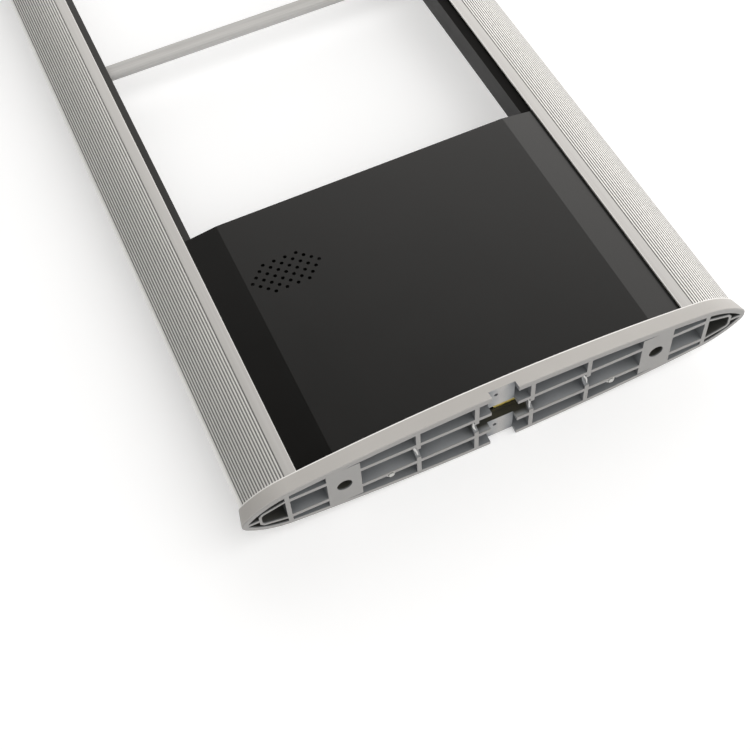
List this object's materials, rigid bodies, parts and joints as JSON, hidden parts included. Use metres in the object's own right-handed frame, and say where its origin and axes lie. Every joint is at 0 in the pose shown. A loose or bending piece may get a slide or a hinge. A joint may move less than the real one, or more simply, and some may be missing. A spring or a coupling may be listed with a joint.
{
  "type": "security gate",
  "caption": "Anti-theft antenna gate on its back: grooved aluminium side profiles, black electronics box with speaker grille, crossbars and an open-ribbed bolt-down foot.",
  "frame": {"origin": "under the middle of the gate, on the surface it lies on", "axes": "The gate lies on its back. +X runs across its width, +Y runs from the foot to the head, +Z points up out of its front face. To stand it up as in use, turn it 90 degrees about +X, so that +Y points up."},
  "size_m": [0.42, 1.6, 0.065],
  "materials": {
    "lens_plastic": "translucent red",
    "yellow_tape": "yellow polyester tape",
    "foot_plastic": "satin silver-grey moulding",
    "can_sleeve": "dark blue sleeve, bare top",
    "chip_black": "black epoxy",
    "zinc_steel": "zinc-plated",
    "chassis_steel": "galvanised sheet",
    "white_nylon": "white nylon",
    "plug_black": "black nylon",
    "cover_plastic": "black, satin, very fine grain",
    "circuit_board": "green solder mask",
    "led_clear": "clear red lamp",
    "profile_aluminium": "satin anodised, fine lengthwise grooves",
    "trim_plastic": "black, satin gloss",
    "bar_aluminium": "satin anodised tube",
    "filter_yellow": "yellow film capacitor case",
    "speaker_black": "black frame, paper cone",
    "terminal_green": "green nylon",
    "core_iron": "laminated iron",
    "copper_coil": "enamelled copper"
  },
  "bodies": {
    "gate_frame": {"alarm_lens": "lens_plastic", "antenna_winding": "yellow_tape", "base_foot": "foot_plastic", "board_capacitors": "can_sleeve", "board_chips": "chip_black", "board_screws": "zinc_steel", "board_spacers": "zinc_steel", "chassis_nuts": "zinc_steel", "chassis_plate": "chassis_steel", "chassis_screws": "zinc_steel", "chassis_washers": "white_nylon", "crossbar_plugs": "plug_black", "head_cap": "foot_plastic", "head_screws": "zinc_steel", "lamp_board": "circuit_board", "lamp_leds": "led_clear", "lamp_pillars": "plug_black", "lamp_screws": "zinc_steel", "left_profile": "profile_aluminium", "left_trim_strip": "trim_plastic", "lower_crossbar": "bar_aluminium", "main_board": "circuit_board", "power_board": "circuit_board", "power_filters": "filter_yellow", "profile_screws": "zinc_steel", "right_profile": "profile_aluminium", "right_trim_strip": "trim_plastic", "ring_core": "yellow_tape", "ring_cradle": "plug_black", "terminal_blocks": "terminal_green", "transformer_core": "core_iron", "transformer_winding": "yellow_tape", "tuning_coils": "copper_coil", "upper_crossbar": "bar_aluminium", "upper_front_cover": "cover_plastic", "upper_rear_cover": "cover_plastic"},
    "front_cover": {"front_cover": "cover_plastic", "speaker": "speaker_black"},
    "rear_cover": {"rear_cover": "cover_plastic"}
  },
  "joints": [
    {"name": "front_cover_slide", "type": "slide", "parent": "gate_frame", "child": "front_cover", "axis": [0, 1, 0], "range_m": [0, 0.2]},
    {"name": "rear_cover_slide", "type": "slide", "parent": "gate_frame", "child": "rear_cover", "axis": [0, 1, 0], "range_m": [0, 0.2]}
  ]
}
